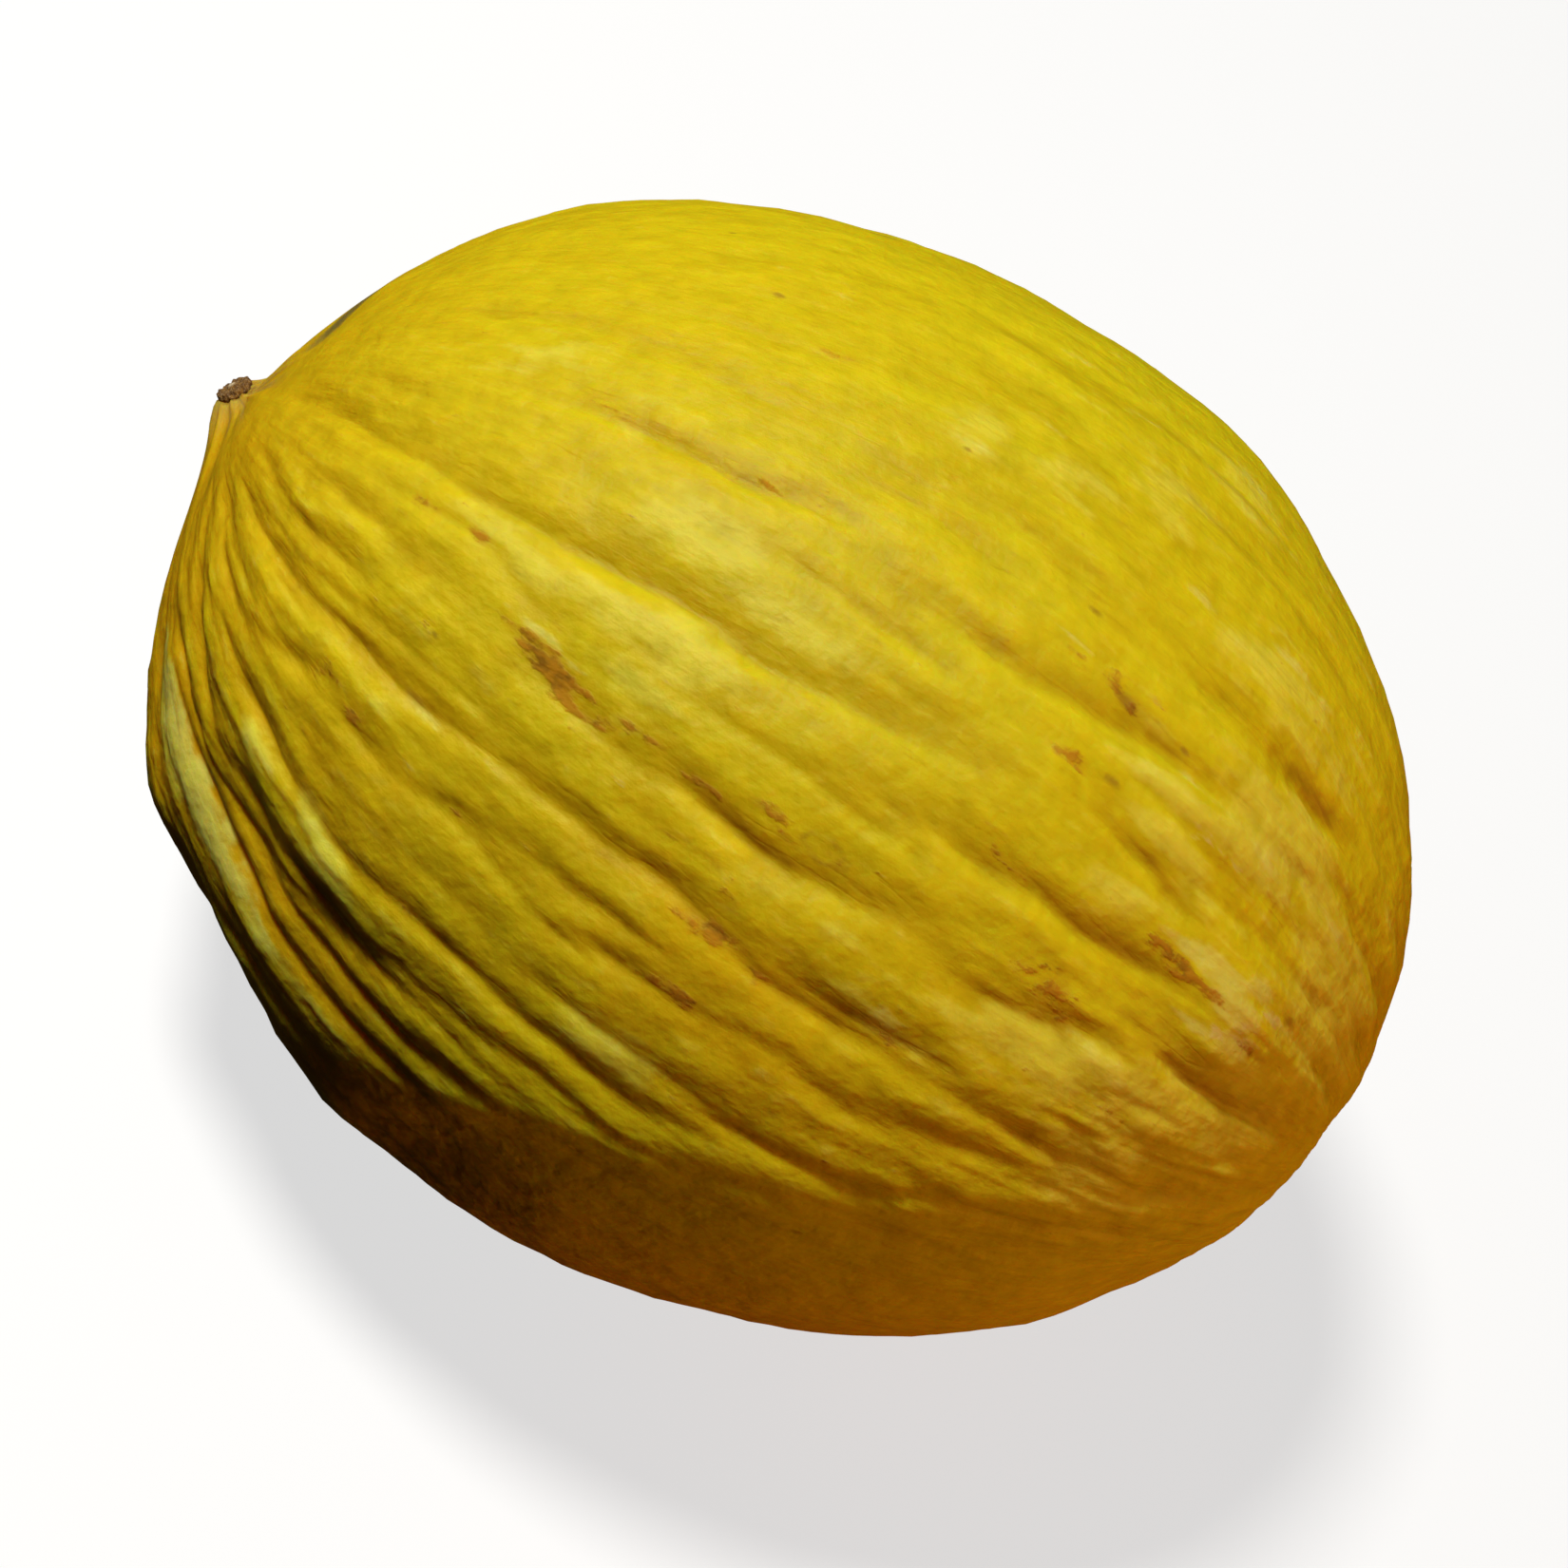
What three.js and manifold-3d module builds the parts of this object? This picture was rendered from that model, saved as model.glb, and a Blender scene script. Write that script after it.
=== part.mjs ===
// A yellow canary-type melon lying on its side, in millimetres, +Z up.
// The long axis lies along X: the stem end is at -X, the blossom end at +X.
// The origin is the centre of the small flat spot that the fruit rests on.
//
// A place on the rind is given by two angles in degrees:
//   station  0 at the stem end, 90 round the widest girth, 180 at the blossom end
//   azimuth  turns about the long axis: 0 on top, 90 at -Y, 180 underneath, 270 at +Y
import * as THREE from 'three';
import { mergeVertices } from 'three/addons/utils/BufferGeometryUtils.js';
import Module from 'manifold-3d';

// Driving dimensions, in millimetres.
const halfLength = 100;
const halfWidth = 83.3;
const flatSpotDepth = 2; // how far the ground spot is pressed in from the full round
const neckHeight = 4; // the drawn-out neck stands this proud of the round
const neckRimRadius = 2.9;
const stubRadius = 2.6; // the dry remnant of the stalk, a corky ring
const stubShankRadius = 2.1;
const stubProud = 1;
const socketDepth = 1.5;
const seatGap = 0.3; // air between the stub and the neck that holds it

// Grid of the rind: how many steps along the fruit and around it.
const stationSteps = 46;
const azimuthSteps = 96;
const endCrowding = 0.75; // 0 spaces the stations evenly, 1 crowds them fully at the two ends

// The two ends are a little off the axis, as on a fruit that hung from a vine:
// how far each end is drawn aside, as a share of the radius, and towards which azimuth.
const stemEndDrift = { share: 0.143, azimuth: -48 };
const blossomEndDrift = { share: 0.2, azimuth: 180 };

// Broad swells and hollows: height in mm, place in degrees, and spread in degrees of arc.
const swells = [
  { height: 1.4, station: 111, azimuth: -32, spread: 13 },
  { height: 1.3, station: 46, azimuth: -40, spread: 22 },
  { height: 1.7, station: 35, azimuth: 118, spread: 10 },
  { height: -2.2, station: 52, azimuth: 126, spread: 9 },
  { height: 0.8, station: 66, azimuth: 124, spread: 8 },
  { height: -1.5, station: 106, azimuth: 118, spread: 21 },
  { height: -0.9, station: 114, azimuth: 47, spread: 6 },
  { height: 0.9, station: 128, azimuth: 34, spread: 9 },
  { height: 1.2, station: 70, azimuth: 215, spread: 20 },
  { height: -1.3, station: 96, azimuth: 248, spread: 17 },
  { height: 1.1, station: 118, azimuth: 205, spread: 16 },
  { height: -0.9, station: 52, azimuth: 268, spread: 14 },
];

// The main furrows that run from the stem end towards the blossom end:
// depth and half width in mm, then [station, azimuth] along the valley.
const furrows = [
  { depth: 1.7, width: 4.2, line: [[20, 34], [45, 36], [60, 36], [72, 33.5], [82, 35], [95, 32], [118, 29.5]] },
  { depth: 1.1, width: 2.6, line: [[44, 39.5], [58, 41.5], [68, 43.5], [90, 42.5], [100, 41]] },
  { depth: 1.3, width: 2.8, line: [[60, 46], [70, 49.5], [86, 49.5], [104, 48]] },
  { depth: 2.1, width: 2.8, line: [[18, 57], [30, 61], [47, 60], [60, 57.5], [84, 57.5], [100, 59], [128, 60]] },
  { depth: 2, width: 2.8, line: [[18, 66], [30, 71], [48, 66], [62, 66], [72, 63.5], [88, 65], [128, 65.6]] },
  { depth: 2, width: 2.6, line: [[40, 72], [60, 72], [78, 72], [94, 73], [114, 71]] },
  { depth: 2.2, width: 2.6, line: [[34, 76], [46, 77.5], [58, 78.5], [72, 76], [90, 77], [104, 76]] },
  { depth: 2.9, width: 3, line: [[14, 72], [28, 84], [38, 87], [54, 87.5], [66, 85], [82, 81], [94, 80]] },
  { depth: 2.5, width: 2.6, line: [[30, 89], [47, 92], [62, 92], [80, 88]] },
  { depth: 2.7, width: 3, line: [[10, 74], [26, 86], [38, 94], [54, 98], [82, 100]] },
  { depth: 2.3, width: 3, line: [[18, 92], [34, 103], [46, 107], [54, 105.5], [78, 109]] },
  { depth: 2.3, width: 4, line: [[118, 43], [130, 45.5], [154, 45]] },
  { depth: 1.5, width: 4, line: [[106, 8], [120, 9.5], [138, 10]] },
  { depth: 1.8, width: 3.4, line: [[20, 128], [44, 133], [70, 130], [98, 134]] },
  { depth: 1.5, width: 3.2, line: [[34, 203], [60, 208], [88, 204], [124, 207]] },
  { depth: 2, width: 3.4, line: [[16, 226], [40, 232], [66, 228], [92, 231], [112, 228]] },
  { depth: 1.6, width: 3, line: [[30, 247], [58, 243], [84, 246], [120, 242]] },
  { depth: 1.8, width: 3.6, line: [[24, 266], [50, 262], [76, 265], [108, 261], [136, 263]] },
  { depth: 1.1, width: 3.4, line: [[40, 286], [70, 283], [96, 287]] },
];

const degrees = THREE.MathUtils.degToRad;
const smooth = THREE.MathUtils.smoothstep;
const furrowFade = 10; // degrees of station over which a furrow rises out at each end
const groundFade = { from: 3, to: 16 }; // mm above the ground over which the furrows come in

// The unit direction to a place on the rind, with both ends drawn aside.
function direction(station, azimuth) {
  const s = degrees(station);
  const a = degrees(azimuth);
  const n = new THREE.Vector3(-Math.cos(s), -Math.sin(s) * Math.sin(a), Math.sin(s) * Math.cos(a));
  const ends = [
    [stemEndDrift, ((1 + Math.cos(s)) / 2) ** 2],
    [blossomEndDrift, ((1 - Math.cos(s)) / 2) ** 2],
  ];
  for (const [drift, weight] of ends) {
    const towards = degrees(drift.azimuth);
    n.y -= drift.share * weight * Math.sin(towards);
    n.z += drift.share * weight * Math.cos(towards);
  }
  return n.normalize();
}

// The plain egg-shaped round that everything else stands on, about its own centre.
function roundPoint(n) {
  return new THREE.Vector3(n.x * halfLength, n.y * halfWidth, n.z * halfWidth);
}

function roundNormal(n) {
  return new THREE.Vector3(n.x / halfLength, n.y / halfWidth, n.z / halfWidth).normalize();
}

function swellHeight(n) {
  let height = 0;
  for (const swell of swells) {
    const arc = THREE.MathUtils.radToDeg(n.angleTo(direction(swell.station, swell.azimuth)));
    height += swell.height * Math.exp(-((arc / swell.spread) ** 2));
  }
  return height;
}

// Where a furrow's valley lies at a station: straight between its points.
function valleyAzimuth(line, station) {
  for (let i = 1; i < line.length; i += 1) {
    const [from, azimuthFrom] = line[i - 1];
    const [to, azimuthTo] = line[i];
    if (station <= to) {
      const share = Math.max(0, (station - from) / (to - from));
      return azimuthFrom + share * (azimuthTo - azimuthFrom);
    }
  }
  return line[line.length - 1][1];
}

// How deep all the furrows together cut at a place.
function furrowDepth(station, azimuth) {
  const ringRadius = halfWidth * Math.sin(degrees(station));
  let depth = 0;
  for (const furrow of furrows) {
    const start = furrow.line[0][0];
    const end = furrow.line[furrow.line.length - 1][0];
    const present = smooth(station, start - furrowFade, start + furrowFade)
      * (1 - smooth(station, end - furrowFade, end + furrowFade));
    if (present > 0) {
      const turn = THREE.MathUtils.euclideanModulo(azimuth - valleyAzimuth(furrow.line, station) + 180, 360) - 180;
      const across = degrees(turn) * ringRadius;
      depth += furrow.depth * present * Math.exp(-((across / furrow.width) ** 2));
    }
  }
  return depth;
}

const stemDirection = direction(0, 0);
const neckBase = roundPoint(stemDirection);
const neckAxis = roundNormal(stemDirection);
const centreHeight = halfWidth - flatSpotDepth;

// The neck flares into the shoulder: steeply on its upper side, gently on its lower side.
function neckRise(point, azimuth) {
  const reach = 3.1 - 1.5 * Math.cos(degrees(azimuth - stemEndDrift.azimuth));
  const beyondRim = Math.max(0, point.distanceTo(neckBase) - neckRimRadius);
  return neckHeight * Math.exp(-beyondRim / reach);
}

function rindPoint(station, azimuth) {
  const n = direction(station, azimuth);
  const point = roundPoint(n);
  const rise = neckRise(point, azimuth);
  const aboveGround = point.z + centreHeight;
  const relief = swellHeight(n) - furrowDepth(station, azimuth) * smooth(aboveGround, groundFade.from, groundFade.to);
  point.addScaledVector(roundNormal(n), relief);
  point.addScaledVector(neckAxis, rise);
  point.z += centreHeight;
  return point;
}

// A closed skin over a grid of stations and azimuths, with one point at each end.
function rindGeometry() {
  const positions = [];
  const index = [];
  const put = (point) => positions.push(point.x, point.y, point.z);
  put(rindPoint(0, 0));
  for (let i = 1; i < stationSteps; i += 1) {
    const t = i / stationSteps;
    const station = 180 * (t - endCrowding * Math.sin(2 * Math.PI * t) / (2 * Math.PI));
    for (let j = 0; j < azimuthSteps; j += 1) {
      put(rindPoint(station, 360 * j / azimuthSteps));
    }
  }
  put(rindPoint(180, 0));
  const last = positions.length / 3 - 1;
  const at = (i, j) => 1 + (i - 1) * azimuthSteps + (j % azimuthSteps);
  for (let j = 0; j < azimuthSteps; j += 1) {
    index.push(0, at(1, j + 1), at(1, j));
    for (let i = 1; i < stationSteps - 1; i += 1) {
      index.push(at(i, j), at(i + 1, j + 1), at(i + 1, j));
      index.push(at(i, j), at(i, j + 1), at(i + 1, j + 1));
    }
    index.push(at(stationSteps - 1, j + 1), last, at(stationSteps - 1, j));
  }
  const geometry = new THREE.BufferGeometry();
  geometry.setAttribute('position', new THREE.Float32BufferAttribute(positions, 3));
  geometry.setIndex(index);
  return geometry;
}

// A frame whose +Y runs out along the neck, with its origin on the neck's flat tip.
function placeOnNeck(geometry) {
  const turn = new THREE.Quaternion().setFromUnitVectors(new THREE.Vector3(0, 1, 0), neckAxis);
  const tip = neckBase.clone().addScaledVector(neckAxis, neckHeight);
  tip.z += centreHeight;
  geometry.applyQuaternion(turn);
  geometry.translate(tip.x, tip.y, tip.z);
  return geometry;
}

const wasm = await Module();
wasm.setup();

function toManifold(geometry) {
  const bare = geometry.clone();
  bare.deleteAttribute('normal');
  bare.deleteAttribute('uv');
  const merged = mergeVertices(bare);
  return new wasm.Manifold(new wasm.Mesh({
    numProp: 3,
    vertProperties: new Float32Array(merged.attributes.position.array),
    triVerts: new Uint32Array(merged.index.array),
  }));
}

function fromManifold(solid) {
  const mesh = solid.getMesh();
  const geometry = new THREE.BufferGeometry();
  geometry.setAttribute('position', new THREE.BufferAttribute(mesh.vertProperties, 3));
  geometry.setIndex(new THREE.BufferAttribute(mesh.triVerts, 1));
  geometry.computeVertexNormals();
  return geometry;
}

// The fruit: its skin, cut flat where it rests, with a shallow seat in the neck for the stub.
function melonGeometry() {
  const groundSize = 3 * halfLength;
  const ground = new THREE.BoxGeometry(groundSize, groundSize, groundSize);
  ground.translate(0, 0, -groundSize / 2);
  const socketRadius = stubShankRadius + seatGap;
  const socket = placeOnNeck(new THREE.CylinderGeometry(socketRadius, socketRadius, 2 * socketDepth, 24));
  const fruit = toManifold(rindGeometry()).subtract(toManifold(ground)).subtract(toManifold(socket));
  return fromManifold(fruit);
}

// The stub: a shank in the seat, a corky collar outside it, and a dished face with a raised core.
function stubGeometry() {
  const profile = [
    [0, seatGap - socketDepth],
    [stubShankRadius, seatGap - socketDepth],
    [stubShankRadius, seatGap],
    [stubRadius, seatGap],
    [stubRadius, 0.7 * stubProud],
    [0.8 * stubRadius, stubProud],
    [0.55 * stubRadius, 0.6 * stubProud],
    [0.3 * stubRadius, 0.75 * stubProud],
    [0, 0.8 * stubProud],
  ];
  const points = profile.map(([radius, height]) => new THREE.Vector2(radius, height));
  return placeOnNeck(new THREE.LatheGeometry(points, 24));
}

const rind = new THREE.MeshStandardMaterial({ color: 0xd2b81c, roughness: 0.45, metalness: 0 });
const cork = new THREE.MeshStandardMaterial({ color: 0x6b4a26, roughness: 0.9, metalness: 0 });

const melon = new THREE.Mesh(melonGeometry(), rind);
melon.name = 'melon';

const stemStub = new THREE.Mesh(stubGeometry(), cork);
stemStub.name = 'stem_stub';

const fruit = new THREE.Group();
fruit.add(melon, stemStub);

export default fruit;
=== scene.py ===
import math

import bpy
import numpy as np
from mathutils import Matrix, Vector


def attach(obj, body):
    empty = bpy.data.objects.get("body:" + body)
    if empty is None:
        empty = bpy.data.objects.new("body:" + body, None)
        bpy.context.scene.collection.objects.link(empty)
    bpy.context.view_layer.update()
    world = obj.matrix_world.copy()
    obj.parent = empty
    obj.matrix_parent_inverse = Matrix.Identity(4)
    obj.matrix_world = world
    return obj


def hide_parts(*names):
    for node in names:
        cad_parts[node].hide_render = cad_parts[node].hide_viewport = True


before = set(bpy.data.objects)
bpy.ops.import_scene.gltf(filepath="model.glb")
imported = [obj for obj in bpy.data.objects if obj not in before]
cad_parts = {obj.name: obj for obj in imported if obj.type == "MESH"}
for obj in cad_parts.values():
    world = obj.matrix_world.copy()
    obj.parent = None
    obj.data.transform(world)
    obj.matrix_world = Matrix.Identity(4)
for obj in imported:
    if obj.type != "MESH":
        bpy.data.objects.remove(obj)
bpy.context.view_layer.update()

# A yellow canary-type melon lying on its side, stem end at -X, resting on its ground spot at the origin.
# Lengths in the dictionaries are in millimetres and angles in degrees, and meshes are made in metres.
# A place on the rind is (station, azimuth): station 0 at the stem end and 180 at the blossom end,
# azimuth 0 on top, 90 towards -Y, 180 underneath, 270 towards +Y.
mm = 0.001


def makeLattice(seed):
    # a shuffled table of 256 places, and a unit arrow for each
    dice = np.random.default_rng(seed)
    arrows = dice.normal(size=(256, 3))
    return dice.permutation(256), arrows / np.linalg.norm(arrows, axis=1, keepdims=True)


def latticeNoise(lattice, x, y, z):
    # gradient noise: each of the eight corners round a point gives its arrow times the way to the point,
    # and they are blended along each axis by t^3 (6 t^2 - 15 t + 10); about -0.6 to 0.6
    shuffle, arrows = lattice
    place = np.broadcast_arrays(x, y, z)
    corner = [np.floor(v).astype(int) for v in place]
    part = [v - c for v, c in zip(place, corner)]
    fade = [t ** 3 * (t * (6 * t - 15) + 10) for t in part]
    total = np.zeros(place[0].shape)
    for steps in np.ndindex(2, 2, 2):
        pick, share = 0, 1
        for axis, step in enumerate(steps):
            pick = shuffle[(pick + corner[axis] + step) & 255]
            share = share * (fade[axis] if step else 1 - fade[axis])
        arrow = arrows[pick]
        reach = sum(arrow[..., axis] * (part[axis] - step) for axis, step in enumerate(steps))
        total += share * reach
    return total


def ringNoise(lattice, station, azimuth, around, along):
    # noise that closes on itself round the fruit, with `around` cells in a full turn and `along` cells
    # from end to end; 40 and 60 only carry it clear of the lattice's corner
    angle = np.radians(azimuth)
    radius = around / (2 * np.pi)
    x, y = 40 + radius * np.cos(angle), 60 + radius * np.sin(angle)
    return latticeNoise(lattice, x, y, station * along / 180)


def smoothStep(value, low, high):
    t = np.clip((value - low) / (high - low), 0, 1)
    return t * t * (3 - 2 * t)


def aroundTurn(azimuth, knots):
    # a value that changes round the fruit: straight between (azimuth, value) knots, closing on itself
    knots = np.array(knots, float)
    return np.interp(azimuth % 360, knots[:, 0] % 360, knots[:, 1], period=360)


melonShape = {
    "halfLength": 100,
    "halfWidth": 83.3,
    "flatSpotDepth": 2,      # how far the ground spot is pressed in from the full round
    "flatSpotSoftness": 0.5,
    "neckHeight": 3.4,
    "neckSlant": 0.66,       # the neck's torn end rises this much for each mm across it,
    "neckHighSide": 179,     # towards this azimuth
    "neckRimRadius": 3.3,
    "neckReach": (4.8, 1.7, -70),     # how far the neck flares out, and how much less towards an azimuth
    "neckRibHeight": 0.7,
    "scarRadius": 5.5,       # the raised ring of the blossom scar, its half width and height,
    "scarRingWidth": 1.6,
    "scarRingHeight": 0.5,
    "scarDip": 1.3,          # and how deep and how wide the middle of the scar is sunk
    "scarDipReach": 4.5,
    "stationSteps": 130,
    "azimuthSteps": 760,
    "endCrowding": 0.62,     # 0 spaces the stations evenly, 1 crowds them fully at the two ends
    "stemEndDrift": (0.143, -48),     # how far each end is drawn aside, as a share of the radius,
    "blossomEndDrift": (0.2, 180),    # and towards which azimuth
    # broad swells and hollows: height, station, azimuth, spread in degrees of arc
    "swells": [
        (1.4, 111, -32, 13), (1.3, 46, -40, 22), (1.6, 38, 118, 9), (-2.3, 55, 126, 8),
        (0.8, 66, 124, 8), (-1.5, 106, 118, 21), (-0.9, 114, 47, 6), (0.9, 128, 34, 9), (1.8, 127, 38, 7),
        (0.8, 116, 24, 8), (0.7, 119, 4, 7), (-1.3, 47, 94, 6), (-1.4, 54, 94, 6.5), (-1.2, 61.5, 93.5, 6),
        (0.4, 42, 117, 3.5), (-1.5, 47, 116.5, 4), (-0.9, 15.5, -2, 3.6), (0.4, 23, -17, 3),
        (1.2, 70, 215, 20), (-1.3, 96, 248, 17), (1.1, 118, 205, 16), (-0.9, 52, 268, 14),
    ],
}

# The furrows that run from the stem end towards the blossom end:
# depth and half width, then (station, azimuth) along the valley.
mainFurrows = [
    (2.3, 6.8, [(22, 33), (28, 33.5), (34, 34.5), (40, 35), (46, 35.8), (56, 36), (64, 35.8), (68, 35),
        (72, 34.3), (76, 34.6), (82, 35.2), (87, 34.6), (92, 33.4), (98, 32.5)]),
    (0.9, 3.6, [(28, 44.5), (34, 45.2), (40, 45.7), (46, 46), (52, 47.5)]),
    (1.1, 2.8, [(62, 45.5), (66, 48), (70, 49.7), (75, 49.7), (79, 49.3)]),
    (1.9, 3.8, [(79, 48), (83, 49.3), (88, 49.6), (92, 49), (96, 48)]),
    (1.8, 3.4, [(26, 60.2), (31, 61.2), (35, 61.2), (40, 60.3), (45, 60), (49, 59.4), (54, 59.2),
        (59, 59.2), (63, 58.4), (67, 57.9), (72, 57.6), (78, 57.6), (82, 57.2), (86, 57.8), (90, 58.6),
        (94, 59.4), (99, 59.5), (103, 59)]),
    (1, 2.2, [(36, 62.6), (42, 62.3), (47, 61.2), (52, 60.4)]),
    (1.3, 2.8, [(21, 66.5), (25, 67.8), (30, 68.4), (35, 68.4)]),
    (1.6, 3, [(24, 69.5), (29, 72), (33, 73.4), (37, 72.4), (41, 70), (45, 67.8), (48.5, 65.6),
        (50.5, 64.6)]),
    (1.4, 2.8, [(51, 66.8), (55, 68), (59, 67.5), (63, 65.9), (67, 64.6), (71, 63.6)]),
    (1.5, 2.6, [(68, 66), (72, 67.3), (76, 67.9), (79, 67.4), (83, 66.3), (88, 65.5), (93, 65.3),
        (96, 64)]),
    (1.7, 2.4, [(77, 73.6), (81, 73.4), (85, 73), (90, 72.8), (93, 73.4), (97, 74.5), (102, 74.8),
        (107, 74.2), (111, 72.2), (116, 71), (122, 70.6), (128, 70), (133, 68.8)]),
    (1.6, 2.6, [(34, 76.5), (40, 77.3), (46, 77.8), (51, 78.6), (56, 79.2), (60, 79.2), (64, 78.4),
        (69, 77.9), (74, 77.3), (78, 77.9), (84, 78), (90, 77.8), (95, 76.3)]),
    (1.5, 3, [(18, 75.5), (22, 78.3), (26, 81), (30, 85), (34, 87.6), (38, 89.2), (42, 89.6),
        (47, 88.8), (52, 87.8)]),
    (2, 2.8, [(51, 88.6), (56, 88.3), (60, 87.8), (65, 87.4), (69, 86.8), (72, 85.8)]),
    (2, 2.8, [(27, 95.5), (32, 95.8), (37, 95.5), (41, 95), (45, 94), (49, 92.7), (53, 91.8),
        (57, 90.7), (61, 89.5), (65, 88.8)]),
    (1.9, 2.3, [(50, 93.8), (55, 93.8), (60, 93.3), (65, 92.6), (70, 92.4), (75, 91), (80, 89.8)]),
    (2.2, 2.9, [(34, 98.5), (39, 98.2), (44, 98), (49, 98.2), (54, 98), (58, 98.6), (62, 98.6), (66, 98),
        (72, 97.6)]),
    (1.7, 3.4, [(26, 104), (30, 108), (36, 111), (41, 113)]),
    (1.7, 2.8, [(50, 111), (54, 110.2), (58, 109.8), (63, 108.8)]),
    (1.9, 3.8, [(104, 48), (108, 49), (112, 49), (115, 48.2), (117.5, 46.2), (120, 43.8), (123, 41.5)]),
    (2.4, 6.4, [(121, 44.6), (127, 45.3), (132, 45.8), (137, 45.8), (143, 45.5), (150, 45)]),
    (1.4, 3.2, [(99, 39), (104, 38.8), (110, 38.7), (115, 38.5), (119, 38.2), (123, 37.2)]),
    (1.4, 3, [(108, 58.8), (112, 59.6), (116, 60.2), (122, 60), (128, 60.4), (134, 60.5)]),
    (1.1, 2.2, [(96, 64.6), (100, 65.2), (104, 66), (108, 65.2), (112, 64.2), (117, 63.4), (121, 62)]),
    (2.1, 6, [(112, 11), (117, 11.3), (122, 11), (127, 10.3), (132, 9)]),
    (1.8, 4.4, [(131, 13.8), (137, 14.6), (143, 14.4), (149, 13.6), (155, 13.4)]),
    (1.8, 3.4, [(20, 128), (44, 133), (70, 130), (98, 134)]),
    (1.9, 4.9, [(34, 203), (60, 208), (88, 204), (124, 207)]),
    (2, 4.4, [(16, 226), (40, 232), (66, 228), (92, 231), (112, 228)]),
    (1.7, 3.8, [(30, 247), (58, 243), (84, 246), (120, 242)]),
    (1.8, 4.6, [(24, 266), (50, 262), (76, 265), (108, 261), (136, 263)]),
    (1.2, 4.8, [(40, 286), (70, 283), (96, 287)]),
]

fineFurrows = [
    (0.8, 1.8, [(45, 40), (51, 40.2), (55, 40), (59, 41.5), (63, 42.8), (68, 44.8)]),
    (0.6, 1.8, [(31, 57.2), (38, 57.3), (44, 56.8), (50, 55.8), (58, 55.2), (66, 54.6), (74, 54.4),
        (80, 53.5)]),
    (0.8, 1.6, [(46, 59.6), (51, 58.7), (57, 57.4)]),
    (0.8, 1.8, [(74, 63), (78, 62.8), (82, 62.6), (86, 63.2)]),
    (0.8, 1.8, [(46, 72.5), (50, 73.2), (54, 73.6)]),
    (-0.8, 1.8, [(40, 82.6), (45, 81.2), (49.5, 80.4), (54, 79.8), (59, 80.8), (64, 81)]),
    (-0.5, 1.5, [(44, 74.6), (49, 75.4), (55, 76.2)]),
    (0.5, 1.6, [(58, 72.3), (66, 72.4), (72, 71.8)]),
    (1.1, 1.7, [(55, 87), (60, 85.8), (65, 85.2), (70, 84), (75, 82.8), (80, 82), (85, 82)]),
    (0.9, 1.6, [(72, 85.7), (76, 85.4), (80, 85.3)]),
    (0.9, 1.7, [(82, 41.6), (87, 41.8), (92, 41.8), (97, 41.2)]),
    (0.9, 1.8, [(96, 57.8), (102, 57.6), (107, 56.9)]),
    (0.7, 2, [(100, 66.6), (110, 66.2), (120, 66.2), (130, 66)]),
    (1.1, 2.4, [(94, 22.8), (101, 22.3), (107, 21), (112, 19.8), (118, 19.3), (122, 19)]),
    (1.4, 3.2, [(137, 22), (143, 22.5), (149, 22.2), (155, 22)]),
    (0.8, 1.8, [(84, 26), (90, 26.4), (97, 26.2)]),
    (1.4, 2.6, [(108, 28), (112, 29.3), (116, 30.8), (120, 31.2)]),
    (0.9, 1.8, [(111, 24), (115, 24.6), (119, 25), (124, 25.2)]),
    (0.7, 1.6, [(116, 27.6), (121, 27.8), (126, 27.2)]),
    (0.8, 1.8, [(122, 23.4), (127, 23.6), (132, 23.4), (138, 23.6)]),
    (0.8, 1.8, [(126, 18.4), (131, 18.6), (137, 18.8), (144, 18.6)]),
    (1.2, 2.8, [(123, 28), (129, 27.2), (134, 27.6), (141, 27.4), (149, 27.2)]),
    (0.9, 1.8, [(50, 21), (58, 20.5), (65, 20), (71, 20.5), (76, 19.8), (81, 19)]),
    (0.6, 1.8, [(60, -12), (66, -13.5), (73, -15), (80, -18)]),
    (0.5, 1.8, [(84, -17.5), (90, -15.5), (96, -13.5)]),
    (0.5, 1.6, [(56, 3), (68, 2.2), (78, 2.6)]),
    (0.5, 1.6, [(38, 8), (50, 7.5), (58, 9)]),
    (0.5, 1.6, [(62, -4), (72, -5), (84, -7), (96, -4.5), (106, -1.5)]),
    (0.5, 1.8, [(56, 10.2), (64, 10), (72, 10.6)]),
    (0.5, 2, [(78, 14.6), (86, 14), (94, 15)]),
    (0.7, 2.6, [(112, 0), (124, 1), (138, 3)]),
    (0.7, 2.6, [(104, -9), (120, -8), (136, -6)]),
    (0.6, 2.4, [(86, -16), (100, -17), (118, -16)]),
    (1, 3, [(84, 84), (90, 82.2), (97, 81.4), (103, 79.2), (108, 77.2)]),
    (0.9, 1.8, [(85, 88.8), (91, 89.2), (97, 89)]),
    (1, 2.2, [(134, 33), (142, 33), (152, 33)]),
    (1, 2.4, [(26, 51), (32, 52.5), (38, 53.4), (46, 53)]),
    (0.7, 1.8, [(60, 62.6), (66, 61.6), (72, 61.8)]),
]

# Below this line the rind turns down more steeply: depth, how far the step reaches and where it has
# died away again in mm, then (station, azimuth) along its upper edge.
lowShelf = {
    "depth": 1.8,
    "reach": 10,
    "fadeFrom": 18,
    "fadeTo": 42,
    "line": [(72, 96), (80, 89.5), (85, 84.5), (90, 82), (97, 80.8), (103, 78.5), (107, 76.5), (112, 72.5),
             (118, 70.8), (130, 67), (142, 64)],
}

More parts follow.
